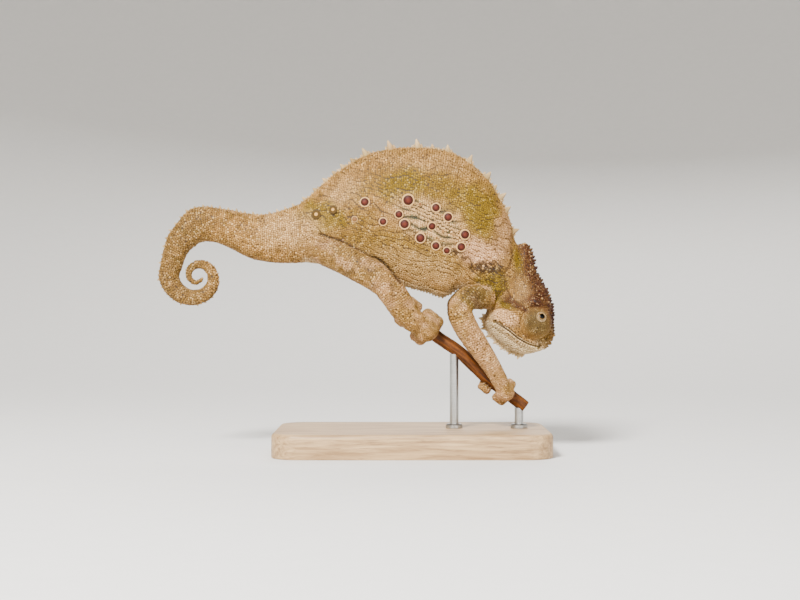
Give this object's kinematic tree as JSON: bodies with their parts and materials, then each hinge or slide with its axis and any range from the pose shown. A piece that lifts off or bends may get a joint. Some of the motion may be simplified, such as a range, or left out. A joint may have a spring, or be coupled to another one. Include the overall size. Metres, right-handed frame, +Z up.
{
  "type": "eastern cape dwarf chameleon display model",
  "caption": "Life-size dwarf chameleon with arched, flattened body, dorsal crest, tall casque and coiled tail, gripping a cut stem on a small rodded base.",
  "frame": {"origin": "centre of the bounding box at the underside of the base, on the surface that it stands on", "axes": "+Z up, +X towards the snout, so the animal's right flank faces -Y"},
  "size_m": [0.0999, 0.042, 0.0784],
  "materials": {
    "skin": "matt granular reptile skin, pinkish tan with olive and pale patches",
    "head_skin": "matt rough reptile skin, tan with reddish brown tubercles",
    "eye": "glossy dark eye",
    "stem": "smooth orange brown leaf stem",
    "base": "smooth pale painted wood",
    "rod": "thin brushed rod"
  },
  "bodies": {
    "root": {"torso": "skin", "neck": "skin", "head": "head_skin", "lower_jaw": "head_skin", "eye_turret_right": "head_skin", "eye_turret_left": "head_skin", "eye_right": "eye", "eye_left": "eye", "tail_1": "skin", "tail_2": "skin", "tail_3": "skin", "tail_4": "skin", "upper_arm_right": "skin", "forearm_right": "skin", "hand_right": "skin", "upper_arm_left": "skin", "forearm_left": "skin", "hand_left": "skin", "thigh_right": "skin", "shank_right": "skin", "foot_right": "skin", "thigh_left": "skin", "shank_left": "skin", "foot_left": "skin", "perch": "stem", "stand_base": "base", "stand_rod_rear": "rod", "stand_rod_front": "rod"}
  },
  "joints": []
}
